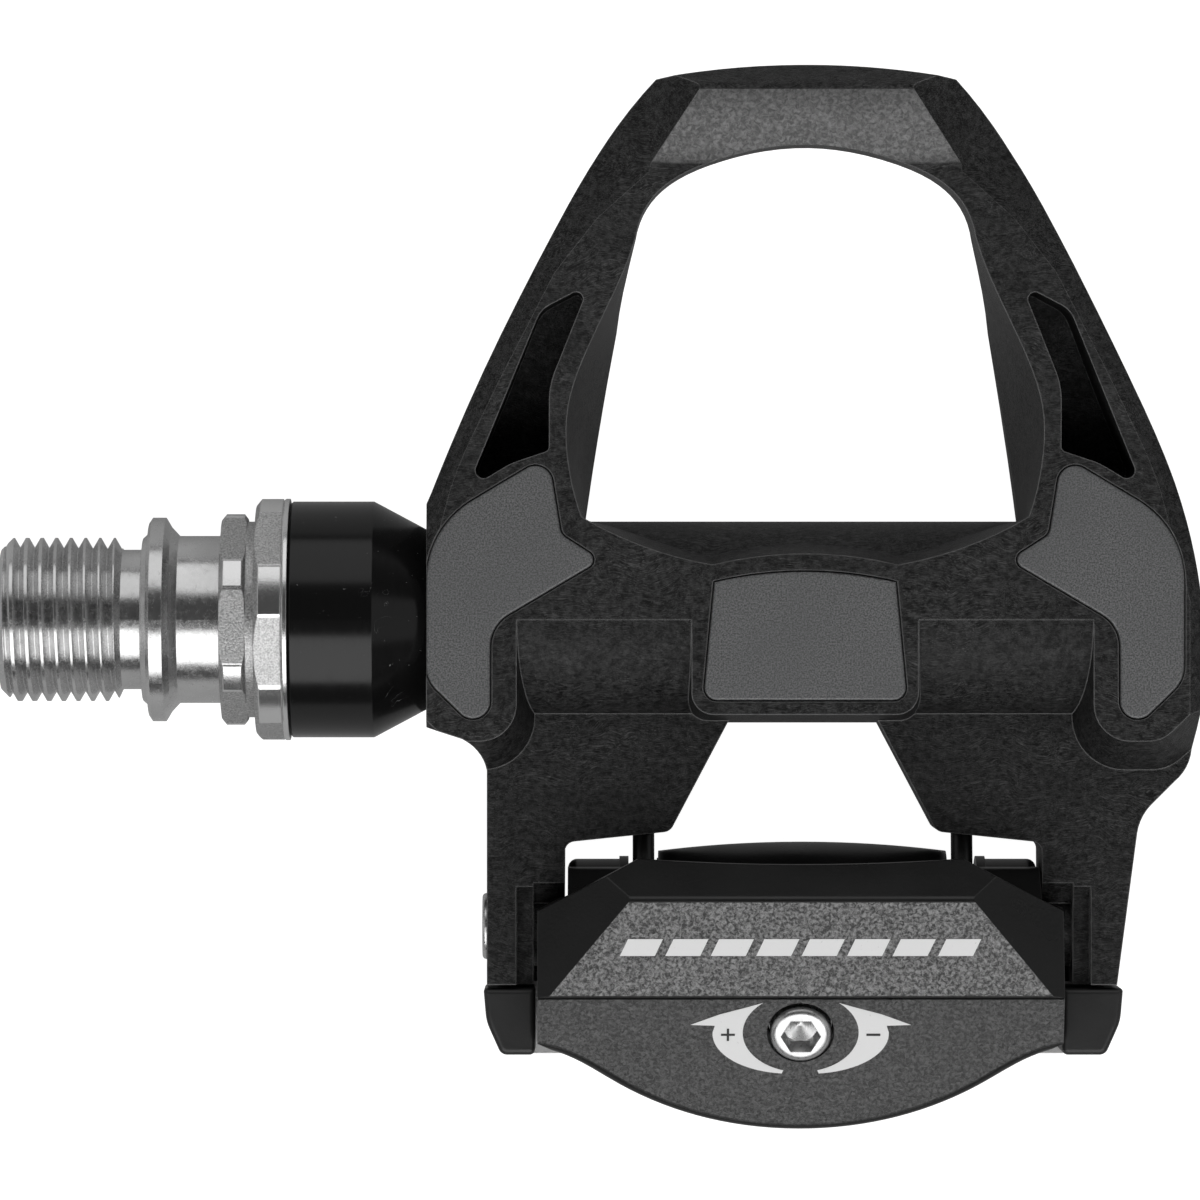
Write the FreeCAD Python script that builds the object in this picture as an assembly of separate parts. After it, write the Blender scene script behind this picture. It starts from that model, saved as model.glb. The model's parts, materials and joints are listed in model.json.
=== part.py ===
"""Clipless road pedal, right-hand side: a three-bearing axle unit, a composite body with steel
cleat pads, and a spring-loaded rear claw with a tension bolt.

Units are millimetres. +X runs along the axle from the crank outwards, +Y points to the toe, +Z up.
The origin is on the axle's axis, in the plane of the flange that seats on the crank arm.
Outlines of the body and claw are written as (u, v): u sideways from the body's middle plane,
v forward from the axle's axis.
"""

import FreeCAD, Part
from math import cos, pi, radians, sin, tan
import os

Vec = FreeCAD.Vector
X_AXIS = Vec(1, 0, 0)
ORIGIN = Vec(0, 0, 0)

# ---- driving dimensions -------------------------------------------------------------------
MID = 57.0                 # crank face to the body's middle plane
GAP = 0.02                 # clearance between two parts of one body that fit together
RUN = 0.05                 # radial running clearance of a pin in its hole

# axle unit, along X
THREAD_R = 7.14            # 9/16 inch x 20 threads per inch
THREAD_PITCH = 1.27
THREAD_DEPTH = 0.76
THREAD_TIP = -12.9
THREAD_END = -2.8
NECK_R = 6.1
FLANGE_R = 8.9
FLANGE_END = 1.45
SHANK_R = 7.3
CUP_START = 6.35           # crank side of the adjusting cup's hexagon
CUP_HEX_END = 8.6
RING_START = 9.35          # crank side of the lock ring
RING_HEX_END = 11.75
SLEEVE_START = 12.3
SLEEVE_R = 10.3
SLEEVE_CYLINDER_END = 19.6
BODY_FACE = MID - 32.7     # crank side of the body
NECK_SLEEVE_R = 7.8        # sleeve where it enters the body
SLEEVE_THREAD_R = 7.35
SLEEVE_THREAD_END = 33.0
SLEEVE_TUBE_R = 6.95
SLEEVE_END = 77.0
CUP_THREAD_R = 9.0
BALL_R = 1.19              # 3/32 inch balls
INNER_BALLS = 17
INNER_BALL_X = 14.6
INNER_BALL_PITCH_R = 7.0
OUTER_BALLS = 10
OUTER_BALL_X = 71.0
OUTER_BALL_PITCH_R = 4.3
NEEDLES = 12
NEEDLE_R = 0.8
NEEDLE_SEAT_R = 4.0
NEEDLE_START = 46.0
NEEDLE_END = 57.0
NEEDLE_CUP_R = 6.1

# body
BARREL_R = 8.55
DECK_TOP = 8.6
WEB_TOP = 2.5
WEB_UNDER = 0.75
BASE_UNDER = -7.2
PAD_THICK = 0.95
PAD_PROUD = 0.25
PAD_GAP = 0.12

# claw, springs and hinge
PIN_V, PIN_Z = -26.9, -3.2
PIN_R = 2.0
EAR_IN = 20.85             # inner faces of the body's two ears
WING_CLEAR = 23.5          # outer edge of the ears' deep recess under the claw's wings
EAR_STEP = 25.0            # outer edge of the shallow scoop beside it
SCOOP_DEPTH = 1.5
EAR_BOSS_R = 3.5
EAR_END = -31.8
CLAW_HALF = 22.7
CAP_SHIFT = -0.4           # the claw's cap and bolt sit this far to the crank side of the middle
WIRE_R = 0.95
COIL_R = 4.1
COIL_TURNS = 4
FRONT_LEG = radians(12)    # how far each leg leaves the coil past its top
REAR_LEG = radians(-9)
COIL_OUT = 13.9            # u of a spring's front leg
COIL_IN = 3.9
DRUM_IN_R = 5.6
TAIL_TOP = (-32.6, 10.5)   # (v, z) of the crease behind the claw's top
TAIL_END = (-45.0, 4.3)
BOLT_V = -35.6
BOLT_HEAD_R = 2.65
BOLT_R = 2.0
BLOCK_DROP = 4.4           # tension block's middle below the tail's top, along the bolt
BLOCK_THICK = 2.4


# ---- small helpers --------------------------------------------------------------------------
def at(u, v, z):
    """A point from body coordinates."""
    return Vec(MID + u, v, z)


def rounded(corners, place):
    """Closed wire through corners (a, b) or (a, b, radius), with a tangent arc at each radius."""
    count = len(corners)
    points = [Vec(c[0], c[1], 0) for c in corners]
    ends = []
    for i, corner in enumerate(corners):
        here = points[i]
        back = (points[i - 1] - here).normalize()
        ahead = (points[(i + 1) % count] - here).normalize()
        radius = corner[2] if len(corner) > 2 else 0
        if radius == 0:
            ends.append((here, None, here))
            continue
        half = back.getAngle(ahead) / 2
        reach = radius / tan(half)
        middle = (back + ahead).normalize()
        crown = here + middle * (radius / sin(half) - radius)
        ends.append((here + back * reach, crown, here + ahead * reach))
    edges = []
    for i, (start, crown, end) in enumerate(ends):
        if crown is not None:
            edges.append(Part.Arc(place(start), place(crown), place(end)).toShape())
        following = ends[(i + 1) % count][0]
        if end.distanceToPoint(following) > 1e-6:
            edges.append(Part.LineSegment(place(end), place(following)).toShape())
    return Part.Wire(edges)


def on_plan(z):
    return lambda p: at(p.x, p.y, z)


def on_side(u):
    """Profiles drawn as (v, z), at a distance u from the middle plane."""
    return lambda p: at(u, p.x, p.y)


def plan_prism(corners, low, high):
    return Part.Face(rounded(corners, on_plan(low))).extrude(Vec(0, 0, high - low))


def side_prism(corners, u_from, u_to):
    return Part.Face(rounded(corners, on_side(u_from))).extrude(Vec(u_to - u_from, 0, 0))


def run_edge(points, z):
    """One edge of an outline: two points make a line, three an arc and more a smooth curve."""
    places = [at(u, v, z) for u, v in points]
    if len(places) == 2:
        return Part.LineSegment(*places).toShape()
    if len(places) == 3:
        return Part.Arc(*places).toShape()
    curve = Part.BSplineCurve()
    curve.interpolate(places)
    return curve.toShape()


def run_wire(runs, z):
    return Part.Wire([run_edge(run, z) for run in runs])


def run_prism(runs, low, high):
    return Part.Face(run_wire(runs, low)).extrude(Vec(0, 0, high - low))


def mirrored(corners):
    """The same corners on the other side of the middle plane, in the same turning sense."""
    return [(-c[0],) + tuple(c[1:]) for c in reversed(corners)]


def loft(low_corners, low, high_corners, high):
    """Ruled solid between two outlines with the same corners at two heights."""
    wires = [rounded(low_corners, on_plan(low)), rounded(high_corners, on_plan(high))]
    return Part.makeLoft(wires, True, True)


def turned(profile):
    """Solid of revolution about the axle's axis, from (x, radius) points."""
    points = [Vec(x, 0, r) for x, r in profile]
    wire = Part.makePolygon(points + [points[0]])
    return Part.Face(wire).revolve(ORIGIN, X_AXIS, 360)


def ring(x0, x1, r_in, r_out):
    return turned([(x0, r_in), (x0, r_out), (x1, r_out), (x1, r_in)])


def rod(start, end, radius):
    axis = end - start
    return Part.makeCylinder(radius, axis.Length, start, axis)


def pin_rod(u0, u1, radius):
    """Cylinder about the hinge pin's axis."""
    return rod(at(u0, PIN_V, PIN_Z), at(u1, PIN_V, PIN_Z), radius)


def box(u0, u1, v0, v1, z0, z1):
    return Part.makeBox(u1 - u0, v1 - v0, z1 - z0, at(u0, v0, z0))


def hexagon(x0, x1, across_flats, turn=0.0):
    radius = across_flats / 2 / cos(pi / 6)
    angles = [turn + pi / 3 * k for k in range(7)]
    wire = Part.makePolygon([Vec(x0, radius * sin(a), radius * cos(a)) for a in angles])
    return Part.Face(wire).extrude(Vec(x1 - x0, 0, 0))


def fused(shapes):
    whole = shapes[0].multiFuse(shapes[1:])
    return whole.removeSplitter()


def edges_where(shape, test):
    return [e for e in shape.Edges if test(e)]


def save(name, shape):
    """Writes one sub-part, and says if a solid isn't sound."""
    os.makedirs("parts", exist_ok=True)
    solids = shape.Solids
    sound = all(s.isValid() and s.Volume > 0 for s in solids)
    print(f"{name}: {len(solids)} solid(s), {sum(s.Volume for s in solids):.1f} mm3"
          + ("" if sound and solids else "  UNSOUND"))
    if len(solids) == 1:
        solids[0].exportStep(f"parts/{name}.step")
    else:
        Part.makeCompound(solids).exportStep(f"parts/{name}.step")


# ---- axle unit --------------------------------------------------------------------------------
def thread_groove():
    """The V groove between a right-hand thread's turns, as one helical sweep about X."""
    start = THREAD_TIP - 2 * THREAD_PITCH
    length = THREAD_END - start + THREAD_PITCH / 2
    helix = Part.makeLongHelix(THREAD_PITCH, length, THREAD_R)
    outside = 0.3
    half = (THREAD_DEPTH + outside) * tan(radians(30))
    corners = [
        Vec(THREAD_R - THREAD_DEPTH, 0, 0),
        Vec(THREAD_R + outside, 0, -half),
        Vec(THREAD_R + outside, 0, half),
    ]
    profile = Part.makePolygon(corners + [corners[0]])
    groove = Part.Wire(helix.Edges).makePipeShell([profile], True, True)
    groove.rotate(ORIGIN, Vec(0, 1, 0), 90)
    groove.translate(Vec(start, 0, 0))
    return groove


def make_spindle():
    contact = BALL_R * cos(pi / 4)
    chamfer = 1.0
    blank = turned([
        (THREAD_TIP, 0),
        (THREAD_TIP, THREAD_R - chamfer),
        (THREAD_TIP + chamfer, THREAD_R),
        (THREAD_END, THREAD_R),
        (THREAD_END + 0.5, NECK_R),
        (-0.55, NECK_R),
        (-0.55, NECK_R + 1.0),
        (0, NECK_R + 1.5),
        (0, FLANGE_R - 0.45),
        (0.3, FLANGE_R),
        (FLANGE_END, FLANGE_R),
        (FLANGE_END + 0.5, SHANK_R + 0.75),
        (FLANGE_END + 1.2, SHANK_R),
        (10.4, SHANK_R),
        (11.0, 5.6),
        (INNER_BALL_X - 0.4, 5.6),
        (INNER_BALL_X + contact - 0.15, INNER_BALL_PITCH_R - contact - 0.17),
        (INNER_BALL_X + 1.9, 7.0),
        (18.6, 7.0),
        (20.5, 5.6),
        (NEEDLE_START - 6, 4.6),
        (NEEDLE_START - 5, NEEDLE_SEAT_R),
        (OUTER_BALL_X - contact - 1.2, NEEDLE_SEAT_R),
        (OUTER_BALL_X - contact + 0.15, OUTER_BALL_PITCH_R - contact - 0.17),
        (OUTER_BALL_X + 0.8, 2.7),
        (OUTER_BALL_X + 3.2, 2.7),
        (OUTER_BALL_X + 3.6, 2.3),
        (OUTER_BALL_X + 3.6, 0),
    ])
    threaded = blank.cut(thread_groove())
    socket = hexagon(THREAD_TIP - 1, THREAD_TIP + 9, 8.0)
    lead_in = Part.makeCone(5.0, 4.2, 0.8, Vec(THREAD_TIP, 0, 0), X_AXIS)
    return threaded.cut(socket).cut(lead_in)


def make_adjusting_cup():
    """Hexagon head, thread into the sleeve, and the inboard race facing the flange's balls."""
    turned_corner = 9.2
    head = hexagon(CUP_START, CUP_HEX_END, 17.0, radians(26)).common(turned([
        (CUP_START, SHANK_R + 0.35), (CUP_START, turned_corner - 0.5),
        (CUP_START + 0.4, turned_corner), (CUP_HEX_END - 0.3, turned_corner),
        (CUP_HEX_END, turned_corner - 0.4), (CUP_HEX_END, SHANK_R + 0.35),
    ]))
    contact = BALL_R * cos(pi / 4)
    body = turned([
        (CUP_HEX_END, SHANK_R + 0.35),
        (CUP_HEX_END, 8.55),
        (RING_START, 8.55),
        (RING_START, CUP_THREAD_R - GAP),
        (17.6, CUP_THREAD_R - GAP),
        (17.6, INNER_BALL_PITCH_R + BALL_R + 0.15),
        (INNER_BALL_X - 0.1, INNER_BALL_PITCH_R + BALL_R + 0.12),
        (INNER_BALL_X - contact - 0.35, INNER_BALL_PITCH_R + contact - 0.1),
        (INNER_BALL_X - BALL_R - 0.15, SHANK_R + 0.35),
    ])
    return fused([head, body])


def make_lock_ring():
    corner = 10.55
    hexed = hexagon(RING_START + GAP, RING_HEX_END, 20.0, radians(14)).common(turned([
        (RING_START + GAP, 8), (RING_START + GAP, corner - 0.6), (RING_START + 0.5, corner),
        (RING_HEX_END, corner), (RING_HEX_END, 8),
    ]))
    rim = turned([
        (RING_HEX_END, 8), (RING_HEX_END, corner - 0.15), (RING_HEX_END + 0.2, corner),
        (SLEEVE_START - GAP, corner), (SLEEVE_START - GAP, 8),
    ])
    bore = rod(Vec(RING_START - 1, 0, 0), Vec(SLEEVE_START + 1, 0, 0), CUP_THREAD_R)
    return fused([hexed, rim]).cut(bore)


def make_sleeve():
    return turned([
        (SLEEVE_START, CUP_THREAD_R),
        (SLEEVE_START, SLEEVE_R - 0.25),
        (SLEEVE_START + 0.25, SLEEVE_R),
        (SLEEVE_CYLINDER_END, SLEEVE_R),
        (BODY_FACE - GAP, NECK_SLEEVE_R),
        (BODY_FACE - GAP, SLEEVE_THREAD_R),
        (SLEEVE_THREAD_END, SLEEVE_THREAD_R),
        (SLEEVE_THREAD_END, SLEEVE_TUBE_R),
        (SLEEVE_END, SLEEVE_TUBE_R),
        (SLEEVE_END, NEEDLE_CUP_R - 1.4),
        (OUTER_BALL_X + 3.4, NEEDLE_CUP_R - 1.4),
        (OUTER_BALL_X + 3.4, NEEDLE_CUP_R),
        (23.0, NEEDLE_CUP_R),
        (19.2, CUP_THREAD_R),
    ])


def make_seal():
    """Rubber lip seal in the mouth of the adjusting cup."""
    return turned([
        (CUP_START + 0.25, SHANK_R + 0.01),
        (CUP_START + 0.25, SHANK_R + 0.33),
        (INNER_BALL_X - BALL_R - 1.2, SHANK_R + 0.33),
        (INNER_BALL_X - BALL_R - 1.2, SHANK_R + 0.12),
        (CUP_START + 1.2, SHANK_R + 0.12),
    ])


def make_sleeve_ring():
    """O-ring under the sleeve's shoulder, in the body's mouth."""
    return Part.makeTorus(SLEEVE_THREAD_R + 0.28, 0.24, Vec(BODY_FACE + 0.3, 0, 0), X_AXIS)


def ball_circle(count, x, pitch_r):
    angles = [2 * pi * k / count for k in range(count)]
    return Part.makeCompound([
        Part.makeSphere(BALL_R, Vec(x, pitch_r * sin(a), pitch_r * cos(a))) for a in angles])


def make_outer_cup():
    """Hardened race pressed in the sleeve's far end, facing the crank."""
    contact = BALL_R * cos(pi / 4)
    return turned([
        (OUTER_BALL_X - 1.6, OUTER_BALL_PITCH_R + BALL_R + 0.12),
        (OUTER_BALL_X - 1.6, NEEDLE_CUP_R - GAP),
        (OUTER_BALL_X + 3.38, NEEDLE_CUP_R - GAP),
        (OUTER_BALL_X + 3.38, 3.3),
        (OUTER_BALL_X + BALL_R + 0.2, 3.3),
        (OUTER_BALL_X + contact + 0.35, OUTER_BALL_PITCH_R + contact - 0.1),
        (OUTER_BALL_X + 0.1, OUTER_BALL_PITCH_R + BALL_R + 0.12),
    ])


def needle_circle(x0, x1, radius):
    pitch_r = NEEDLE_SEAT_R + RUN / 2 + NEEDLE_R
    angles = [2 * pi * k / NEEDLES for k in range(NEEDLES)]
    return [rod(Vec(x0, pitch_r * sin(a), pitch_r * cos(a)),
                Vec(x1, pitch_r * sin(a), pitch_r * cos(a)), radius) for a in angles]


def make_needle_cage():
    cage = ring(NEEDLE_START, NEEDLE_END, NEEDLE_SEAT_R + 0.35, NEEDLE_SEAT_R + 1.35)
    for slot in needle_circle(NEEDLE_START + 0.9, NEEDLE_END - 0.9, NEEDLE_R + 0.08):
        cage = cage.cut(slot)
    return cage


def make_needle_cup():
    inner = NEEDLE_SEAT_R + RUN + 2 * NEEDLE_R
    return turned([
        (NEEDLE_START - 0.9, NEEDLE_CUP_R - GAP), (NEEDLE_END + 0.9, NEEDLE_CUP_R - GAP),
        (NEEDLE_END + 0.9, NEEDLE_SEAT_R + 0.6), (NEEDLE_END + 0.3, NEEDLE_SEAT_R + 0.6),
        (NEEDLE_END + 0.3, inner), (NEEDLE_START - 0.3, inner),
        (NEEDLE_START - 0.3, NEEDLE_SEAT_R + 0.6), (NEEDLE_START - 0.9, NEEDLE_SEAT_R + 0.6),
    ])


# ---- body ------------------------------------------------------------------------------------
# Right-hand corners and half outlines; the left side mirrors them.
ARM_OUTLINE = [(12.9, 46.4), (17.3, 41.0), (21.9, 33.1), (27.8, 21.4), (32.3, 10.9),
               (34.3, 1.5), (34.45, -5.0), (33.8, -11.2)]
TOE_BULGE = 1.3            # how far the toe bar's front edge arches forward
SIDE_PAD = [(22.15, 14.2, 1.5), (21.05, 7.35, 1.2), (17.6, 5.15, 0.75), (27.17, -0.49, 3.2),
            (27.17, -10.6, 1.5), (32.7, -5.2, 3.0), (32.7, 7.93, 8.2)]
MID_PAD = [(-7.8, 3.25, 0.9), (-8.8, -6.95, 1.1), (8.8, -6.95, 1.1), (7.8, 3.25, 0.9)]
MID_PAD_ARCH = 0.9
SIDE_POCKET = [(18.6, 28.9, 0.6), (22.8, 26.7, 2.4), (29.2, 11.2, 0.7), (25.4, 13.5, 6.0),
               (22.1, 14.6, 0.5), (22.1, 20.2, 7.0)]
POCKET_FLOOR = [(9.0, -3.4), (20.0, -1.9), (31.0, 2.9)]     # (v, z), rising towards the toe
# The toe window's outline where its walls are upright, and where they open out at the deck.
WINDOW_LOW_Z, WINDOW_HIGH_Z = -2.0, 9.0
WINDOW_CROWN = [(0, 40.8), (7.4, 39.6), (12.7, 36.8), (14.6, 33.0)]
WINDOW_LOW_SIDE = [(19.0, 8.5), (17.4, 18.7), (14.6, 33.0)]
WINDOW_LOW_BACK = [[(-19.0, 8.5), (-8.2, 8.5)], [(-8.2, 8.5), (8.2, 8.5)], [(8.2, 8.5), (19.0, 8.5)]]
WINDOW_HIGH_SIDE = [(19.3, 8.9), (20.3, 12.4), (20.6, 17.3), (17.9, 25.2), (14.6, 33.0)]
WINDOW_HIGH_BACK = [[(-19.3, 8.9), (-13.4, 6.05), (-8.0, 4.6)], [(-8.0, 4.6), (0, 5.6), (8.0, 4.6)],
                    [(8.0, 4.6), (13.4, 6.05), (19.3, 8.9)]]
# Crease along the top of an arm, the foot of its bevel, and the foot's drop below the crease.
BEVEL = [((7.4, 48.6), (14.2, 50.2), 4.0),
         ((9.0, 45.7), (14.2, 47.0), 3.4),
         ((13.4, 38.6), (18.3, 40.6), 3.0),
         ((17.9, 34.6), (21.1, 36.0), 2.4),
         ((21.6, 29.9), (23.9, 30.9), 2.0),
         ((26.3, 20.8), (28.4, 21.6), 1.8),
         ((30.6, 11.3), (32.4, 11.9), 1.5),
         ((33.2, 1.6), (34.7, 1.8), 1.4),
         ((33.2, -12.5), (34.6, -12.7), 1.4)]
RAMP_START, RAMP_END = (14.0, DECK_TOP), (39.2, 10.9)     # (v, z) of the climb to the toe bar
LIP_TOP = (45.8, 14.2)


def deck_height(v):
    """Height of the deck's top, which climbs to the toe bar and then steeply up its face."""
    for (v0, z0), (v1, z1) in ((LIP_TOP, RAMP_END), (RAMP_END, RAMP_START)):
        if v > v1:
            return z0 + (v - v0) * (z1 - z0) / (v1 - v0)
    return DECK_TOP


def outer_prism(low, high):
    """The whole body seen from above, ears and toe included, as a straight prism."""
    toe_right, toe_left = ARM_OUTLINE[0], (-ARM_OUTLINE[0][0], ARM_OUTLINE[0][1])
    left_arm = [(-u, v) for u, v in ARM_OUTLINE[:5]][::-1]
    runs = [
        [toe_left, (0, toe_left[1] + TOE_BULGE), toe_right],
        ARM_OUTLINE,
        [ARM_OUTLINE[-1], (33.3, -12.9), (32.3, -14.1)],
        [(32.3, -14.1), (30.2, -16.2)],
        [(30.2, -16.2), (29.4, -17.4), (29.05, -18.6)],
        [(29.05, -18.6), (27.3, EAR_END)],
        [(27.3, EAR_END), (-27.55, EAR_END)],
        [(-27.55, EAR_END), (-27.55, -13.2)],
        [(-27.55, -13.2), (-28.2, -11.5), (-29.6, -10.3)],
        [(-29.6, -10.3), (-32.7, -9.3)],
        [(-32.7, -9.3), (-32.7, 10.0)],
        [(-32.7, 10.0), left_arm[0]],
        left_arm,
    ]
    return run_prism(runs, low, high)


def window_runs(side, back):
    """The toe window at one height: its three rear spans, its sides and the crown."""
    left = [(-u, v) for u, v in side]
    crown = [(-u, v) for u, v in WINDOW_CROWN[::-1]] + WINDOW_CROWN[1:]
    return back + [side, crown[::-1], left[::-1]]


def toe_opening():
    """The window between toe bar and deck, opened out towards the deck."""
    low = window_runs(WINDOW_LOW_SIDE, WINDOW_LOW_BACK)
    high = window_runs(WINDOW_HIGH_SIDE, WINDOW_HIGH_BACK)
    wires = [run_wire(low, WINDOW_LOW_Z), run_wire(high, WINDOW_HIGH_Z)]
    return [
        run_prism(low, WINDOW_LOW_Z - 14, WINDOW_LOW_Z),
        Part.makeLoft(wires, True, True),
        run_prism(high, WINDOW_HIGH_Z, WINDOW_HIGH_Z + 14),
    ]


def arm_bevel(side):
    """Cutter for the sloped strip along the outer top edge of one arm and the deck's outer side."""
    wires = []
    for (cu, cv), (fu, fv), drop in BEVEL:
        crease = Vec(cu, cv, deck_height(cv))
        down = Vec(fu - cu, fv - cv, -drop)
        far = crease + down * 2
        corners = [at(side * p.x, p.y, z) for p, z in
                   ((crease, crease.z), (far, far.z), (far, 22), (crease, 22))]
        wires.append(Part.makePolygon(corners + [corners[0]]))
    return Part.makeLoft(wires, True, True)


def arms_and_deck():
    """Everything at deck height in front of the axle, with the toe bar's ramp and lip."""
    top = [(0.0, DECK_TOP), RAMP_START + (30,), RAMP_END + (2.0,), LIP_TOP + (0.5,)]
    nose = [(47.9, 10.9, 1.0), (46.2, 8.0, 1.5)]
    under = [(40.5, 6.2, 4.0), (22.0, -3.6, 30), (8.0, BASE_UNDER, 4), (0.0, BASE_UNDER)]
    slab = side_prism(top + nose + under, -36, 36)
    return slab.common(outer_prism(-16, 20))


def finger(side, outline):
    """Deck under a side pad behind the axle, with drafted walls down to the web."""
    top = [(24.9, 1.0), (24.9, -10.5, 3.2), (30.8, -10.5, 3.0), (37.0, -4.5), (37.0, 1.0)]
    foot = [(22.9, 1.0), (22.9, -13.9, 5.0), (32.0, -13.9, 4.0), (39.0, -8.0), (39.0, 1.0)]
    if side < 0:
        top, foot = mirrored(top), mirrored(foot)
    return loft(foot, 0.5, top, DECK_TOP).common(outline)


def side_pad_outline(side, grow=0.0):
    corners = SIDE_PAD if side > 0 else mirrored(SIDE_PAD)
    wire = rounded(corners, on_plan(0))
    return wire.makeOffset2D(grow) if grow else wire


def mid_pad_outline(grow=0.0):
    left = MID_PAD[0]
    radius = (left[0] ** 2 + MID_PAD_ARCH ** 2) / (2 * MID_PAD_ARCH)
    arch = Part.makeCylinder(radius, 1, at(0, left[1] + MID_PAD_ARCH - radius, 0))
    tall = plan_prism([(-8.8, -6.95, 1.1), (8.8, -6.95, 1.1), (7.7, 4.6), (-7.7, 4.6)], 0, 1)
    face = min(tall.common(arch).Faces, key=lambda f: f.CenterOfMass.z)
    wire = face.OuterWire
    return wire.makeOffset2D(grow) if grow else wire


def pad_plate(wire, low, thick):
    face = Part.Face(wire)
    face.translate(Vec(0, 0, low - wire.BoundBox.ZMin))
    return face.extrude(Vec(0, 0, thick))


def make_pad(wire):
    low = DECK_TOP + PAD_PROUD - PAD_THICK
    plate = pad_plate(wire, low, PAD_THICK)
    high = low + PAD_THICK
    rim = edges_where(plate, lambda e: abs(e.BoundBox.ZMin - high) < 1e-3)
    return plate.makeFillet(0.2, rim)


def rear_gap():
    """Window behind the axle and the space between the ears, where the claw's drum turns."""
    corners = [(-6.0, -7.9), (6.0, -7.9), (6.55, -8.9, 0.9), (11.6, -18.45, 1.0),
               (20.75, -19.4, 0.9), (EAR_IN, -34.0), (-EAR_IN, -34.0), (-20.75, -19.4, 0.9),
               (-11.6, -18.45, 1.0), (-6.55, -8.9, 0.9)]
    return plan_prism(corners, -16, WEB_TOP + 1)


def web_pocket(side):
    """Hollow under a web, open to the rear, where a spring's front leg bears on the web."""
    corners = [(10.3, -9.6, 0.8), (12.7, -16.0, 0.8), (12.7, -20.4), (20.0, -20.4),
               (20.0, -18.6, 0.8), (24.2, -16.4, 1.0), (24.2, -9.6, 1.2)]
    if side < 0:
        corners = mirrored(corners)
    return plan_prism(corners, -16, WEB_UNDER)


def ear_recess(side):
    """Step on an ear that lets the claw's wing swing over the hinge boss, with a scoop beside it."""
    corners = [(-22.9, WEB_TOP + 1), (-22.9, WEB_TOP, 0.3), (-24.6, 0.1, 2.2),
               (-25.6, PIN_Z), (-33.0, PIN_Z - 1.2), (-33.0, WEB_TOP + 1)]
    u0, u1 = sorted((side * (EAR_IN - 1), side * WING_CLEAR))
    space = side_prism(corners, u0, u1).cut(pin_rod(u0 - 1, u1 + 1, EAR_BOSS_R))
    floor = WEB_TOP - SCOOP_DEPTH
    scoop = [(-23.2, WEB_TOP + 1), (-23.2, WEB_TOP, 0.4), (-24.6, floor, 2.4), (-33.0, floor),
             (-33.0, WEB_TOP + 1)]
    v0, v1 = sorted((side * WING_CLEAR, side * EAR_STEP))
    return space.fuse(side_prism(scoop, v0, v1))


def side_pocket(side):
    """Deep pocket along an arm, whose floor rises with the arm's underside."""
    corners = SIDE_POCKET if side > 0 else mirrored(SIDE_POCKET)
    (v_rear, _), (v_front, _) = POCKET_FLOOR[0], POCKET_FLOOR[-1]
    space = side_prism(POCKET_FLOOR + [(v_front, 22), (v_rear, 22)], -36, 36)
    return plan_prism(corners, -16, 20).common(space)


def make_body():
    outline = outer_prism(-16, 20)
    base = side_prism([(1.0, BASE_UNDER), (1.0, WEB_TOP), (EAR_END, WEB_TOP),
                       (EAR_END, BASE_UNDER + 1.5, 1.0), (EAR_END + 3, BASE_UNDER, 1.0)], -36, 36)
    base = base.common(outline)
    centre_foot = [(-10.4, 1.0), (10.4, 1.0), (10.4, -9.0, 2.0), (-10.4, -9.0, 2.0)]
    centre_top = [(-9.8, 1.0), (9.8, 1.0), (9.8, -8.2, 1.9), (-9.8, -8.2, 1.9)]
    centre = loft(centre_foot, 0.0, centre_top, DECK_TOP)
    arms = arms_and_deck()
    for side in (-1, 1):
        arms = arms.cut(arm_bevel(side))
    fingers = [finger(side, outline).cut(arm_bevel(side)) for side in (-1, 1)]
    for cutter in toe_opening():
        arms = arms.cut(cutter)
    barrel = rod(Vec(BODY_FACE, 0, 0), at(31.5, 0, 0), BARREL_R)
    for tool in [rear_gap(), web_pocket(-1), web_pocket(1)]:
        base = base.cut(tool)
    body = fused([base, arms, barrel, centre] + fingers)

    for side in (-1, 1):
        body = body.cut(side_pocket(side))
        body = body.cut(ear_recess(side))
        recess = pad_plate(side_pad_outline(side, PAD_GAP),
                           DECK_TOP + PAD_PROUD - PAD_THICK, 3)
        body = body.cut(recess)
    body = body.cut(pad_plate(mid_pad_outline(PAD_GAP), DECK_TOP + PAD_PROUD - PAD_THICK, 3))
    bore = turned([
        (BODY_FACE - 1, 0), (BODY_FACE - 1, SLEEVE_THREAD_R + 0.6),
        (BODY_FACE + 0.6, SLEEVE_THREAD_R + 0.6), (BODY_FACE + 0.6, SLEEVE_THREAD_R + GAP),
        (SLEEVE_THREAD_END + 0.5, SLEEVE_THREAD_R + GAP),
        (SLEEVE_THREAD_END + 0.5, SLEEVE_TUBE_R + GAP),
        (SLEEVE_END + 0.5, SLEEVE_TUBE_R + GAP), (SLEEVE_END + 1.5, 0),
    ])
    body = body.cut(bore)
    return body.cut(pin_rod(-40, 40, PIN_R + GAP))


# ---- claw ------------------------------------------------------------------------------------
def tail_height(v):
    (v0, z0), (v1, z1) = TAIL_TOP, TAIL_END
    return z0 + (v - v0) * (z1 - z0) / (v1 - v0)


def bolt_frame():
    """(point on the tail's top, unit vector out of it) of the tension bolt."""
    (v0, z0), (v1, z1) = TAIL_TOP, TAIL_END
    out = Vec(0, z1 - z0, v0 - v1).normalize()
    return at(CAP_SHIFT, BOLT_V, tail_height(BOLT_V)), out


def along_bolt(distance):
    place, out = bolt_frame()
    return place + out * distance


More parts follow.
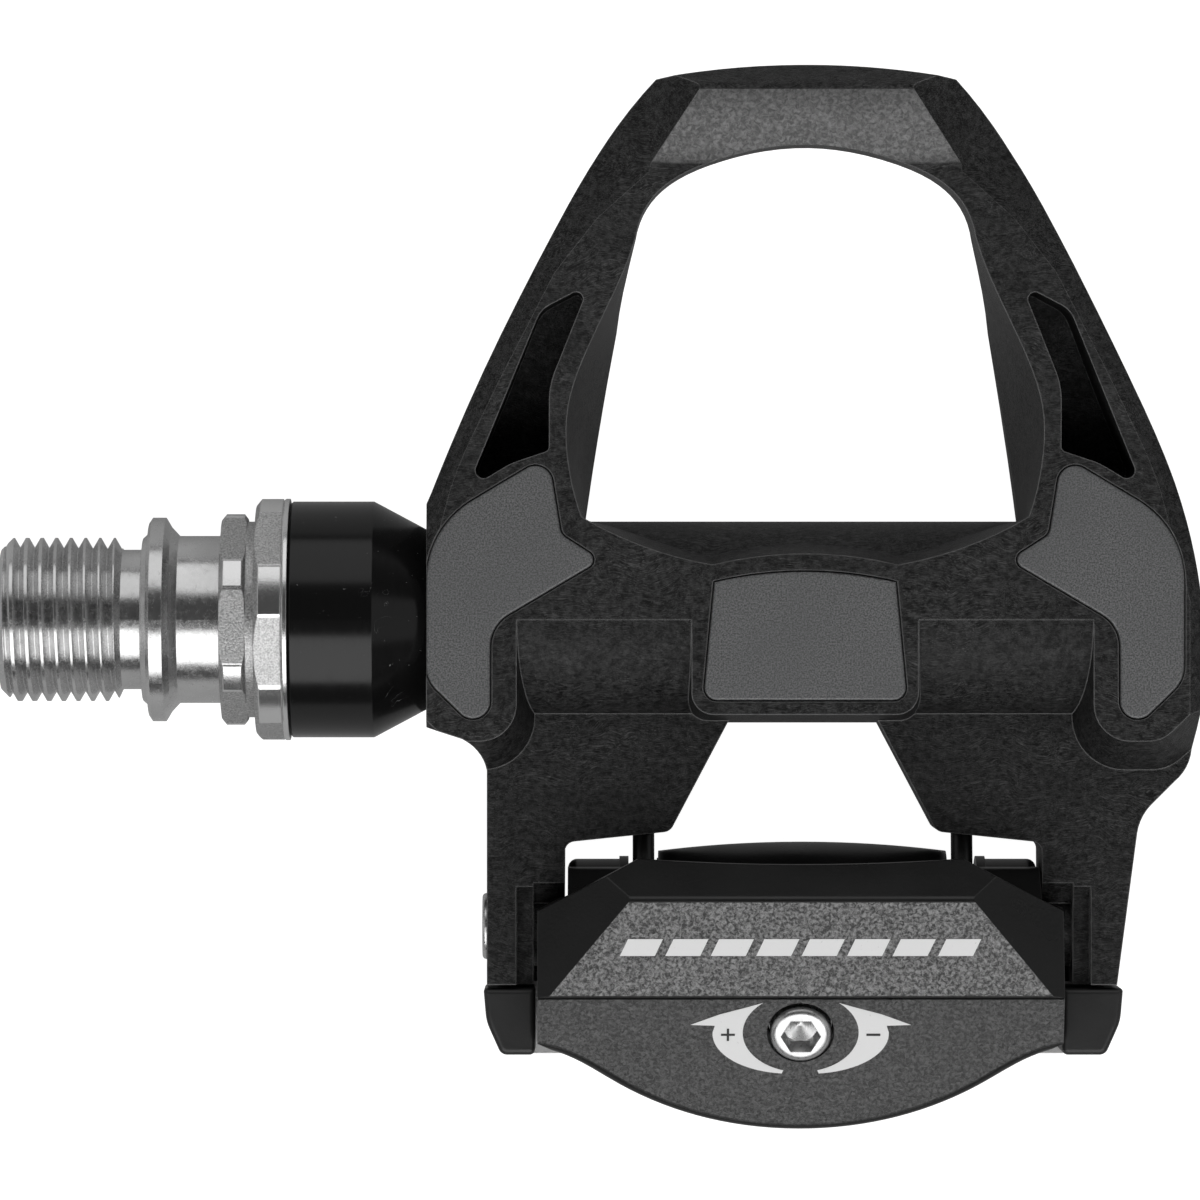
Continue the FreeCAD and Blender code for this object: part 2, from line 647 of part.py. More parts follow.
def claw_plan(low, high):
    """Claw from above: swept front corners, straight sides and a round tail."""
    half = CLAW_HALF
    half_tail = [(21.4, -37.2), (19.4, -38.0), (15.8, -40.1), (9.6, -42.8)]
    tail = [(-u, v) for u, v in half_tail] + [(0, -44.2)] + half_tail[::-1]
    runs = [
        [(-14.0, -20.6), (0, -21.1), (14.0, -20.6)],
        [(14.0, -20.6), (half, -25.2)],
        [(half, -25.2), (half, -36.6)],
        [(half, -36.6), tail[-1]],
        tail[::-1],
        [tail[0], (-half, -36.6)],
        [(-half, -36.6), (-half, -25.2)],
        [(-half, -25.2), (-14.0, -20.6)],
    ]
    return run_prism(runs, low, high)


def corner_facet(side):
    """Half space above the sloped facet at one front corner of the claw."""
    a = at(side * 14.6, -23.9, 13.45)
    b = at(side * 21.7, -32.4, 11.45)
    c = at(side * CLAW_HALF, -25.2, 8.4)
    normal = (b - a).cross(c - a)
    if normal.z < 0:
        normal = -normal
    normal.normalize()
    plate = Part.makeBox(80, 80, 20)
    plate.translate(Vec(-40, -40, 0))
    plate.Placement = FreeCAD.Placement(
        a, FreeCAD.Rotation(Vec(0, 0, 1), normal)).multiply(plate.Placement)
    return plate.common(box(-40, 40, TAIL_TOP[0] + 0.1, -10, -20, 40))


def make_claw():
    profile = [(-20.5, 8.3, 0.3), (-20.5, 9.6, 0.3), (-23.9, 13.45, 0.6), (-32.45, 11.45, 0.25),
               TAIL_TOP, TAIL_END, (-45.0, 1.9), (-43.4, 1.9), (-37.4, 0.4, 1.5),
               (-36.9, -2.0, 0.5), (-31.6, -2.0), (-30.4, 0.9),
               (-24.2, 0.9), (-24.2, 6.4, 0.8), (-22.3, 8.0, 0.8)]
    cap = side_prism(profile, -CLAW_HALF, CLAW_HALF).common(claw_plan(-16, 20))
    for side in (-1, 1):
        cap = cap.cut(corner_facet(side))
    crease = side_prism([(TAIL_TOP[0] - 0.25, 12.0), (TAIL_TOP[0] - 0.05, TAIL_TOP[1] - 0.3),
                         (TAIL_TOP[0] + 0.3, 12.0)], -CLAW_HALF, CLAW_HALF)
    cap = cap.cut(crease)
    cap.translate(X_AXIS * CAP_SHIFT)
    low_rim = tail_height(-44.0) - 0.5
    cap = cap.makeFillet(0.9, edges_where(cap, lambda e: e.BoundBox.YMax < -37.0
                                          and e.BoundBox.ZMin > low_rim and e.Length > 20))
    cap = cap.cut(pin_rod(-CLAW_HALF - 2, CLAW_HALF + 2, EAR_BOSS_R + 0.35))
    crown = Part.Arc(at(-12.7, PIN_V, PIN_Z + 6.6), at(0, PIN_V, PIN_Z + 7.4),
                     at(12.7, PIN_V, PIN_Z + 6.6)).toShape()
    foot = Part.makePolygon([at(12.7, PIN_V, PIN_Z + 6.6), at(12.7, PIN_V, PIN_Z),
                             at(-12.7, PIN_V, PIN_Z), at(-12.7, PIN_V, PIN_Z + 6.6)])
    drum = Part.Face(Part.Wire([crown] + foot.Edges)).revolve(
        at(0, PIN_V, PIN_Z), X_AXIS, 360)
    boss = [pin_rod(s * 15.0, s * 20.5, 5.9) for s in (1, -1)]
    shoulder = [pin_rod(s * 15.0, s * 16.0, 6.15) for s in (1, -1)]
    boss = [b.makeFillet(0.8, edges_where(b, lambda e: abs(abs(e.CenterOfMass.x - MID) - 20.5)
                                          < 1e-3)) for b in boss]
    # the web joins bosses, drum and cap behind the drum's front half
    bridge = side_prism([(-21.6, -1.0), (-21.6, 3.0, 1.0), (-24.3, 7.4), (-33.0, 7.4),
                         (-36.6, 1.0), (-36.6, -1.8), (-30.0, -1.8)], -20.5, 20.5)
    bridge = bridge.cut(pin_rod(-30, 30, 6.0))
    whole = fused([cap, drum, bridge] + boss + shoulder)

    inner = DRUM_IN_R
    hollow = pin_rod(-15.0, 15.0, inner)
    leg_slots = [box(s * 13.9 - 1.3, s * 13.9 + 1.3, PIN_V, -18.0, PIN_Z - 3.0, PIN_Z + 8.4)
                 for s in (1, -1)]
    chamber = side_prism([(-26.9, -12.0), (-26.9, 1.6), (-28.2, 7.4, 1.0), (-31.6, 8.6, 0.8),
                          (-42.2, 3.3, 0.6), (-41.0, 1.2), (-41.0, -12.0)], -17.6, 17.6)
    rim = claw_plan(-16, 20)
    rim.scale(0.92, at(0, -36.0, 0))
    chamber = chamber.common(rim)
    skirt = box(-30, 30, -50, -10, -20, PIN_Z - 5.4)
    whole = whole.cut(hollow).cut(chamber).cut(skirt)
    for tool in leg_slots:
        whole = whole.cut(tool)
    whole = whole.cut(pin_rod(-30, 30, PIN_R + RUN))
    whole = whole.cut(rod(along_bolt(-4.0), along_bolt(3.0), BOLT_HEAD_R + 0.25))
    return whole


def make_pin():
    shank = pin_rod(-27.7, 27.2, PIN_R)
    head = pin_rod(-28.0, -27.56, 2.9)
    head = head.makeFillet(0.35, edges_where(
        head, lambda e: abs(e.CenterOfMass.x - (MID - 28.0)) < 1e-3))
    return fused([shank, head])


def make_bush(side):
    u0, u1 = sorted((side * 1.2, side * 14.8))
    return pin_rod(u0, u1, 2.95).cut(pin_rod(u0 - 1, u1 + 1, PIN_R + RUN))


def coil_point(angle, u):
    """A point on the coil's centre line; angle 0 is straight up, positive towards the toe."""
    return at(u, PIN_V + COIL_R * sin(angle), PIN_Z + COIL_R * cos(angle))


def make_torsion_spring(side):
    """Wound from its front leg, at the outside, to its rear leg, near the middle."""
    steps = 16 * COIL_TURNS
    sweep = 2 * pi * COIL_TURNS + REAR_LEG - FRONT_LEG
    points = [coil_point(FRONT_LEG + k / steps * sweep, COIL_OUT + k / steps * (COIL_IN - COIL_OUT))
              for k in range(steps + 1)]
    curve = Part.BSplineCurve()
    curve.interpolate(points)
    path = Part.Wire(curve.toShape())
    tangent = curve.tangent(curve.FirstParameter)[0]
    circle = Part.Wire(Part.makeCircle(WIRE_R, points[0], tangent))
    coil = path.makePipeShell([circle], True, True)
    front_end = at(COIL_OUT, -17.2, points[0].z - (-17.2 - points[0].y) * tan(FRONT_LEG))
    rear_end = at(COIL_IN, -34.6, points[-1].z + (points[-1].y + 34.6) * tan(-REAR_LEG))
    legs = [rod(points[0], front_end, WIRE_R), rod(points[-1], rear_end, WIRE_R)]
    joints = [Part.makeSphere(WIRE_R, p) for p in (points[0], points[-1], front_end, rear_end)]
    whole = fused([coil] + legs + joints)
    return whole if side > 0 else whole.mirror(Vec(MID, 0, 0), X_AXIS)


def make_bolt():
    """Button head with a hexagon socket, a collar under the tail's skin, and the shank."""
    out = bolt_frame()[1]
    head = rod(along_bolt(-1.9), along_bolt(0.75), BOLT_HEAD_R)
    top = along_bolt(0.75)
    head = head.makeFillet(0.7, edges_where(
        head, lambda e: len(e.Vertexes) == 1 and e.CenterOfMass.distanceToPoint(top) < 0.05))
    collar = rod(along_bolt(-2.7), along_bolt(-1.9), 2.75)
    shank = rod(along_bolt(-10.4), along_bolt(-2.0), BOLT_R)
    whole = fused([head, collar, shank])
    radius = 3.0 / 2 / cos(pi / 6)
    across = X_AXIS
    other = out.cross(across)
    angles = [pi / 3 * k for k in range(7)]
    flat = Part.makePolygon([along_bolt(-1.2) + across * (radius * cos(a))
                             + other * (radius * sin(a)) for a in angles])
    socket = Part.Face(flat).extrude(out * 3)
    point = Part.makeCone(0, radius * cos(pi / 6), 0.7, along_bolt(-1.9), out)
    return whole.cut(socket).cut(point)


def make_block():
    """Cross bar threaded on the bolt, which the springs' rear legs push up."""
    out = bolt_frame()[1]
    bar = Part.makeBox(13.0, 4.6, BLOCK_THICK)
    bar.translate(Vec(-6.5, -2.3, -BLOCK_THICK / 2))
    bar = bar.makeFillet(0.5, bar.Edges)
    bar.Placement = FreeCAD.Placement(
        along_bolt(-BLOCK_DROP), FreeCAD.Rotation(Vec(0, 0, 1), out)).multiply(bar.Placement)
    return bar.cut(rod(along_bolt(-12), along_bolt(1), BOLT_R + RUN))


# ---- stop plate and end caps behind the ears ---------------------------------------------------
def make_end_cap(side):
    inner = CLAW_HALF + 0.25 + side * CAP_SHIFT
    corners = [(inner, -32.1, 0.2), (inner, -37.9, 0.5), (26.3, -37.9, 0.8), (27.6, -35.0, 4.0),
               (27.85, -32.1, 0.3)]
    if side < 0:
        corners = mirrored(corners)
    block = plan_prism(corners, -5.6, WEB_TOP)
    crown = edges_where(block, lambda e: abs(e.BoundBox.ZMin - WEB_TOP) < 1e-3)
    return block.makeFillet(0.5, crown)


def make_stop_plate():
    corners = [(-26.2, -38.3, 1.0), (26.2, -38.3, 1.0), (27.0, -33.0, 1.5), (26.2, -29.2, 1.0),
               (22.0, -29.2), (22.0, -34.6, 1.5), (-22.0, -34.6, 1.5), (-22.0, -29.2),
               (-26.2, -29.2, 1.0), (-27.0, -33.0, 1.5)]
    return plan_prism(corners, BASE_UNDER - 1.3, BASE_UNDER - 0.02)


PARTS = {
    "spindle": make_spindle,
    "adjusting_cup": make_adjusting_cup,
    "lock_ring": make_lock_ring,
    "axle_sleeve": make_sleeve,
    "spindle_seal": make_seal,
    "sleeve_o_ring": make_sleeve_ring,
    "inboard_balls": lambda: ball_circle(INNER_BALLS, INNER_BALL_X, INNER_BALL_PITCH_R),
    "outboard_balls": lambda: ball_circle(OUTER_BALLS, OUTER_BALL_X, OUTER_BALL_PITCH_R),
    "outboard_cup": make_outer_cup,
    "needle_rollers": lambda: Part.makeCompound(
        needle_circle(NEEDLE_START + 1, NEEDLE_END - 1, NEEDLE_R)),
    "needle_cage": make_needle_cage,
    "needle_cup": make_needle_cup,
    "pedal_body": make_body,
    "crank_side_pad": lambda: make_pad(side_pad_outline(-1)),
    "outer_side_pad": lambda: make_pad(side_pad_outline(1)),
    "centre_pad": lambda: make_pad(mid_pad_outline()),
    "claw": make_claw,
    "hinge_pin": make_pin,
    "left_spring_bush": lambda: make_bush(-1),
    "right_spring_bush": lambda: make_bush(1),
    "left_spring": lambda: make_torsion_spring(-1),
    "right_spring": lambda: make_torsion_spring(1),
    "tension_bolt": make_bolt,
    "tension_block": make_block,
    "left_end_cap": lambda: make_end_cap(-1),
    "right_end_cap": lambda: make_end_cap(1),
    "stop_plate": make_stop_plate,
}

for name, make in PARTS.items():
    save(name, make())
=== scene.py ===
import json
from math import cos, radians, sin

import bmesh
import bpy
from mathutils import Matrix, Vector


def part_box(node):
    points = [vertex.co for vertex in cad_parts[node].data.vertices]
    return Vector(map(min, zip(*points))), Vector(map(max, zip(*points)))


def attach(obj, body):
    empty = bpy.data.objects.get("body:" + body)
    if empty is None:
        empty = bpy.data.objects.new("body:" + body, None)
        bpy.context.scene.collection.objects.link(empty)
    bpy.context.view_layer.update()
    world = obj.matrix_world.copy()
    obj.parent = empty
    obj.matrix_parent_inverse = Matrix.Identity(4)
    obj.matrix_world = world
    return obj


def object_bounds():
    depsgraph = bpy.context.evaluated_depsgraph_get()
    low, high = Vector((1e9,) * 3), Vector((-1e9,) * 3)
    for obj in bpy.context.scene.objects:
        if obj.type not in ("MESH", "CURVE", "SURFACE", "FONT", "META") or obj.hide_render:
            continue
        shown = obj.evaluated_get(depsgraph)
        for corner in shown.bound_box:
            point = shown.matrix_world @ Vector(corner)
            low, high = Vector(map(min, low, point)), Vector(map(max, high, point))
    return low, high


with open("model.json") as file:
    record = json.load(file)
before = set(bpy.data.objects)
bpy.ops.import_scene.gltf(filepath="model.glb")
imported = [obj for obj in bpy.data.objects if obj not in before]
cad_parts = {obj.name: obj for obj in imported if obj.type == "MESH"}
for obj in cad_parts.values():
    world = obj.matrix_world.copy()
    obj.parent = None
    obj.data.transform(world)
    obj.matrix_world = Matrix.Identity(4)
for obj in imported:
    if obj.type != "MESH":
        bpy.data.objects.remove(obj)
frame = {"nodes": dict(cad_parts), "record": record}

CAD_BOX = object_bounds()
MM = 0.001
NODES = frame["nodes"]
ACROSS = Vector((1, 0, 0))

# ---- places, from the frame ------------------------------------------------------------------
PAD_LOW, PAD_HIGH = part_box("centre_pad")
MIDDLE_X = (PAD_LOW.x + PAD_HIGH.x) / 2      # the body's middle plane
MOUNTS = {m["name"]: m for m in frame["record"]["mounts"]}
BOLT_PLACE = Vector(MOUNTS["tension_key_socket"]["pos_m"])
BOLT_AXIS = Vector(MOUNTS["tension_key_socket"]["axis"]).normalized()

# ---- places on the CAD faces that the finishes follow, in metres ------------------------------
TOE_HIGHLIGHT_AND_GRAIN_START = (37.5 * MM, 40.5 * MM)     # Y where the toe bar's painted highlight and its grain fade in
TOE_HIGHLIGHT_AND_GRAIN_END = (43.0 * MM, 46.5 * MM)       # Y where both fade to a third, painted shade towards the bar's top edge
CUP_END_X = 9.0 * MM                         # the adjusting cup's hexagon ends before this X
CUP_CORNER_R = 9.14 * MM                     # turned corners of the cup's hexagon
RING_CORNER_R = 10.5 * MM                    # turned corners of the lock ring's hexagon


# ---- node helpers ------------------------------------------------------------------------------
class Shader:
    """A Principled material and short calls for the nodes that feed it."""

    def __init__(self, name, **sockets):
        self.material = bpy.data.materials.new(name)
        self.material.use_nodes = True
        self.tree = self.material.node_tree
        self.bsdf = self.tree.nodes["Principled BSDF"]
        for socket, value in sockets.items():
            self.bsdf.inputs[socket.replace("_", " ")].default_value = value
        self.place = self.add("ShaderNodeTexCoord").outputs["Object"]

    def add(self, kind, **settings):
        node = self.tree.nodes.new(kind)
        for key, value in settings.items():
            setattr(node, key, value)
        return node

    def join(self, output, socket):
        self.tree.links.new(output, socket)

    def feed(self, socket, output):
        self.join(output, self.bsdf.inputs[socket])

    def put(self, socket, value):
        if isinstance(value, bpy.types.NodeSocket):
            self.join(value, socket)
        else:
            socket.default_value = value

    def math(self, kind, *values, clamp=False):
        node = self.add("ShaderNodeMath", operation=kind, use_clamp=clamp)
        for socket, value in zip(node.inputs, values):
            self.put(socket, value)
        return node.outputs[0]

    def vector(self, kind, *values):
        node = self.add("ShaderNodeVectorMath", operation=kind)
        for socket, value in zip(node.inputs, values):
            self.put(socket, value)
        return node.outputs["Value"] if kind == "DOT_PRODUCT" else node.outputs["Vector"]

    def split(self, output):
        """The X, Y and Z of a vector."""
        node = self.add("ShaderNodeSeparateXYZ")
        self.join(output, node.inputs[0])
        return node.outputs["X"], node.outputs["Y"], node.outputs["Z"]

    def own_normal(self):
        """The X, Y and Z of the surface's normal in the part's own frame."""
        return self.split(self.add("ShaderNodeTexCoord").outputs["Normal"])

    def stretch(self, scale, turn=(0, 0, 0), source=None):
        node = self.add("ShaderNodeMapping")
        self.join(source or self.place, node.inputs["Vector"])
        node.inputs["Scale"].default_value = scale
        node.inputs["Rotation"].default_value = turn
        return node.outputs[0]

    def noise(self, per_mm, detail=3.0, rough=0.5, source=None, distort=0.0):
        node = self.add("ShaderNodeTexNoise")
        self.join(source or self.place, node.inputs["Vector"])
        node.inputs["Scale"].default_value = per_mm / MM
        node.inputs["Detail"].default_value = detail
        node.inputs["Roughness"].default_value = rough
        node.inputs["Distortion"].default_value = distort
        return node.outputs["Fac"]

    def remap(self, value, low, high, to_low=0.0, to_high=1.0, kind="LINEAR"):
        node = self.add("ShaderNodeMapRange", interpolation_type=kind)
        for socket, item in zip(node.inputs, (value, low, high, to_low, to_high)):
            self.put(socket, item)
        return node.outputs[0]

    def mix(self, share, first, second):
        node = self.add("ShaderNodeMix", data_type="RGBA")
        for name, item in (("Factor_Float", share), ("A_Color", first), ("B_Color", second)):
            socket = next(s for s in node.inputs if s.identifier == name)
            self.put(socket, item)
        return next(s for s in node.outputs if s.identifier == "Result_Color")

    def bump(self, height, strength, depth_mm, normal=None):
        node = self.add("ShaderNodeBump")
        node.inputs["Strength"].default_value = strength
        node.inputs["Distance"].default_value = depth_mm * MM
        self.join(height, node.inputs["Height"])
        if normal is not None:
            self.join(normal, node.inputs["Normal"])
        return node.outputs[0]

    def round_edges(self, radius_mm):
        """(normal with softened edges, how much it differs from the plain normal)."""
        soft = self.add("ShaderNodeBevel", samples=6)
        soft.inputs["Radius"].default_value = radius_mm * MM
        plain = self.add("ShaderNodeNewGeometry").outputs["Normal"]
        same = self.vector("DOT_PRODUCT", soft.outputs[0], plain)
        return soft.outputs[0], self.math("SUBTRACT", 1.0, same, clamp=True)


def grey(value, tint=0.0):
    return (value, value * (1 + tint / 2), value * (1 + tint), 1.0)


# ---- materials -----------------------------------------------------------------------------------
def fibre_streaks(s):
    """Short fibres lying every way, as thin curved streaks between 0 and 1."""
    drift = s.add("ShaderNodeTexNoise")
    drift.inputs["Scale"].default_value = 0.16 / MM
    drift.inputs["Detail"].default_value = 2.0
    s.join(s.place, drift.inputs["Vector"])
    bend = s.vector("SUBTRACT", drift.outputs["Color"], (0.5, 0.5, 0.5))
    shift = s.add("ShaderNodeVectorMath", operation="SCALE")
    s.join(bend, shift.inputs[0])
    shift.inputs["Scale"].default_value = 4.0 * MM
    curved = s.vector("ADD", s.place, shift.outputs["Vector"])
    streaks = None
    turns = [(0, 0, 20), (25, 0, 75), (0, 20, 130), (60, 30, 165)]
    for number, turn in enumerate(turns):
        where = s.stretch((0.5, 7.5, 7.5), tuple(radians(a) for a in turn), curved)
        lines = s.noise(1.2 + 0.15 * number, detail=2.0, rough=0.6, source=where)
        lines = s.remap(lines, 0.54, 0.78, kind="SMOOTHSTEP")
        streaks = lines if streaks is None else s.math("MAXIMUM", streaks, lines)
    return streaks


def toe_bar_highlight_and_grain(s):
    """(where the toe bar's rear-facing slope carries a painted highlight and the grain, a leather
    grain moulded into it).
    """
    sideways, toward_toe, upward = s.own_normal()
    spot_y = s.split(s.place)[1]
    slope = s.math("MULTIPLY", s.remap(toward_toe, -0.30, -0.40), s.remap(upward, 0.75, 0.85))
    level = s.math("MULTIPLY", s.remap(sideways, 0.2, 0.1), s.remap(sideways, -0.2, -0.1))
    # Painted shade: the highlight and the grain fade to a third towards the bar's top edge.
    fade = s.remap(spot_y, *TOE_HIGHLIGHT_AND_GRAIN_END, 1.0, 0.35)
    reach = s.math("MULTIPLY", s.remap(spot_y, *TOE_HIGHLIGHT_AND_GRAIN_START), fade)
    leather = s.remap(s.noise(2.6, detail=3.0, rough=0.6, distort=0.8), 0.38, 0.66)
    return s.math("MULTIPLY", s.math("MULTIPLY", slope, level), reach), leather


def fibre_composite():
    s = Shader("fibre_composite")
    streaks = fibre_streaks(s)
    cloud = s.noise(0.12, detail=4.0, rough=0.6)
    specks = s.remap(s.noise(5.5, detail=2.0), 0.66, 0.78)
    soft, edge = s.round_edges(0.22)
    shade = s.math("MULTIPLY", streaks, s.remap(cloud, 0.35, 0.7, 0.35, 1.0))
    mottle = s.remap(s.noise(1.6, detail=5.0, rough=0.75), 0.42, 0.66)
    base = s.mix(mottle, grey(0.0008), grey(0.014))
    colour = s.mix(shade, base, grey(0.085))
    s.feed("Specular IOR Level", s.remap(mottle, 0.0, 1.0, 0.22, 0.52))
    colour = s.mix(s.math("MULTIPLY", specks, 0.4), colour, grey(0.12))
    # Painted highlight: the softened edges are lightened as if catching the light.
    colour = s.mix(s.remap(edge, 0.03, 0.18, 0.0, 0.8), colour, grey(0.3))
    # Painted highlight: the toe bar's rear-facing slope is lightened as if lit by the heel light,
    # with the grain showing in it.
    bar, leather = toe_bar_highlight_and_grain(s)
    colour = s.mix(s.math("MULTIPLY", bar, 0.9), colour, s.mix(leather, grey(0.12), grey(0.30)))
    s.feed("Base Color", colour)
    rough = s.remap(cloud, 0.3, 0.75, 0.42, 0.52)
    rough = s.math("ADD", rough, s.math("MULTIPLY", mottle, 0.1))
    s.feed("Roughness", s.math("SUBTRACT", rough, s.math("MULTIPLY", streaks, 0.14)))
    relief = s.math("ADD", s.math("MULTIPLY", streaks, 0.5), s.noise(3.0, detail=3.0))
    relief = s.math("ADD", relief, s.math("MULTIPLY", s.math("MULTIPLY", bar, leather), 1.2))
    s.feed("Normal", s.bump(relief, 0.7, 0.09, soft))
    return s.material


def moulded_plastic(name, level, rough):
    s = Shader(name)
    cloud = s.noise(0.2, detail=3.0)
    soft, edge = s.round_edges(0.15)
    colour = s.mix(cloud, grey(level * 0.8), grey(level * 1.25))
    # Painted highlight: the softened edges are lightened as if catching the light.
    s.feed("Base Color", s.mix(s.remap(edge, 0.05, 0.3, 0.0, 0.3), colour, grey(0.12)))
    s.feed("Roughness", s.remap(cloud, 0.3, 0.7, rough - 0.05, rough + 0.06))
    s.feed("Normal", s.bump(s.noise(2.6, detail=3.0), 0.3, 0.03, soft))
    return s.material


def pad_steel():
    """Satin sheet steel: an even fine grain, a few rubbed marks and painted highlights along its
    edges.
    """
    s = Shader("pad_steel", Metallic=0.85)
    grain = s.noise(7.0, detail=3.0, rough=0.65)
    cloud = s.noise(0.15, detail=3.0)
    rub = s.noise(0.8, detail=2.0, source=s.stretch((1.0, 0.12, 1.0)))
    soft, edge = s.round_edges(0.12)
    speckle = s.remap(grain, 0.40, 0.60)
    colour = s.mix(speckle, grey(0.10, 0.02), grey(0.24, 0.02))
    colour = s.mix(s.remap(cloud, 0.3, 0.7, 0.0, 0.35), colour, grey(0.14, 0.03))
    # Painted highlight: the softened edges are lightened as if catching the light.
    colour = s.mix(s.remap(edge, 0.03, 0.18, 0.0, 0.9), colour, grey(0.6))
    s.feed("Base Color", colour)
    rough = s.remap(grain, 0.3, 0.7, 0.46, 0.60)
    s.feed("Roughness", s.math("SUBTRACT", rough, s.remap(rub, 0.62, 0.8, 0.0, 0.08)))
    s.feed("Normal", s.bump(grain, 0.5, 0.03, soft))
    return s.material


def claw_finish():
    """Eroded grain on the claw's two top faces in pale tones that are a painted highlight, paler on
    the upper face and darker on the steeper lobe as painted shade, and smooth black on its front
    and flanks.
    """
    s = Shader("claw_finish", Specular_IOR_Level=0.5)
    sideways, toward_toe, upward = s.own_normal()
    level = s.remap(s.math("ABSOLUTE", sideways), 0.10, 0.02)
    top = s.math("MULTIPLY", level, s.remap(upward, 0.75, 0.85))
    top = s.math("MULTIPLY", top, s.remap(toward_toe, -0.1, -0.2))
    leather = s.noise(3.3, detail=2.5, rough=0.55, distort=0.6)
    fine = s.noise(9.0, detail=2.0)
    grain = s.math("ADD", leather, s.math("MULTIPLY", fine, 0.3))
    specks = s.remap(s.noise(4.2, detail=2.0), 0.70, 0.80)
    cloud = s.noise(0.15, detail=3.0)
    soft, edge = s.round_edges(0.18)
    # Painted light: the upper face's grain is painted pale as a highlight, and the lobe, tilted
    # further, is painted darker as shade.
    lobe = s.remap(toward_toe, -0.28, -0.40)
    high = s.mix(lobe, grey(0.34), grey(0.13))
    rough_face = s.mix(s.remap(grain, 0.45, 0.9, kind="SMOOTHSTEP"), grey(0.035), high)
    black = s.mix(s.math("MULTIPLY", specks, 0.3), grey(0.005), grey(0.06))
    colour = s.mix(top, black, rough_face)
    # Painted highlight: the softened edges are lightened as if catching the light.
    s.feed("Base Color", s.mix(s.remap(edge, 0.06, 0.3, 0.0, 0.3), colour, grey(0.22)))
    black_rough = s.remap(cloud, 0.3, 0.7, 0.26, 0.36)
    s.feed("Roughness", s.math("ADD", s.math("MULTIPLY", top, 0.12), black_rough))
    height = s.math("MULTIPLY", grain, s.math("ADD", s.math("MULTIPLY", top, 0.95), 0.05))
    s.feed("Normal", s.bump(height, 1.0, 0.22, soft))
    return s.material


def polished_steel(name, level=0.72, rough=0.17, marks=0.45):
    """Plated steel with turning lines round the X axis, fine scuffs and a little oil staining."""
    s = Shader(name, Metallic=1.0)
    turning = s.noise(1.0, detail=2.0, source=s.stretch((14.0, 0.25, 0.25)))
    scuffs = s.noise(2.2, detail=5.0, rough=0.75)
    cloud = s.noise(0.25, detail=3.0)
    soft, edge = s.round_edges(0.1)
    colour = s.mix(s.remap(cloud, 0.35, 0.7), grey(level * 0.82), grey(level))
    colour = s.mix(s.remap(scuffs, 0.62, 0.8, 0.0, marks), colour, grey(level * 0.35))
    # Painted highlight: the softened edges are lightened as if catching the light.
    s.feed("Base Color", s.mix(s.remap(edge, 0.05, 0.3, 0.0, 0.5), colour, grey(0.9)))
    s.feed("Roughness", s.remap(scuffs, 0.35, 0.75, rough, rough + 0.16))
    waves = s.math("ADD", turning, s.math("MULTIPLY", scuffs, 0.5))
    waves = s.math("ADD", waves, s.math("MULTIPLY", cloud, 2.0))
    s.feed("Normal", s.bump(waves, 0.2, 0.05, soft))
    return s.material


def blasted_steel():
    """Bead-blasted flats, with the turned corners left bright."""
    s = Shader("blasted_steel", Metallic=1.0)
    x, y, z = s.split(s.place)
    squared = s.math("ADD", s.math("MULTIPLY", y, y), s.math("MULTIPLY", z, z))
    radius = s.math("SQRT", squared)
    on_cup = s.math("LESS_THAN", x, CUP_END_X)
    corner = s.math("MULTIPLY", on_cup, CUP_CORNER_R - RING_CORNER_R)
    corner = s.math("ADD", corner, RING_CORNER_R)
    turned = s.remap(s.math("SUBTRACT", corner, radius), 0.02 * MM, 0.07 * MM, 1.0, 0.0)
    beads = s.noise(6.5, detail=2.5, rough=0.6)
    cloud = s.noise(0.3, detail=3.0)
    soft, edge = s.round_edges(0.14)
    flat = s.mix(s.remap(beads, 0.35, 0.65), grey(0.30), grey(0.66))
    flat = s.mix(s.remap(cloud, 0.3, 0.7, 0.0, 0.2), flat, grey(0.4))
    colour = s.mix(turned, flat, grey(0.78))
    # Painted highlight: the softened edges are lightened as if catching the light.
    s.feed("Base Color", s.mix(s.remap(edge, 0.05, 0.25, 0.0, 0.6), colour, grey(0.85)))
    s.feed("Roughness", s.math("SUBTRACT", s.remap(beads, 0.3, 0.7, 0.40, 0.5),
                               s.math("MULTIPLY", turned, 0.24)))
    height = s.math("MULTIPLY", beads, s.math("SUBTRACT", 1.0, s.math("MULTIPLY", turned, 0.9)))
    s.feed("Normal", s.bump(height, 0.7, 0.05, soft))
    return s.material


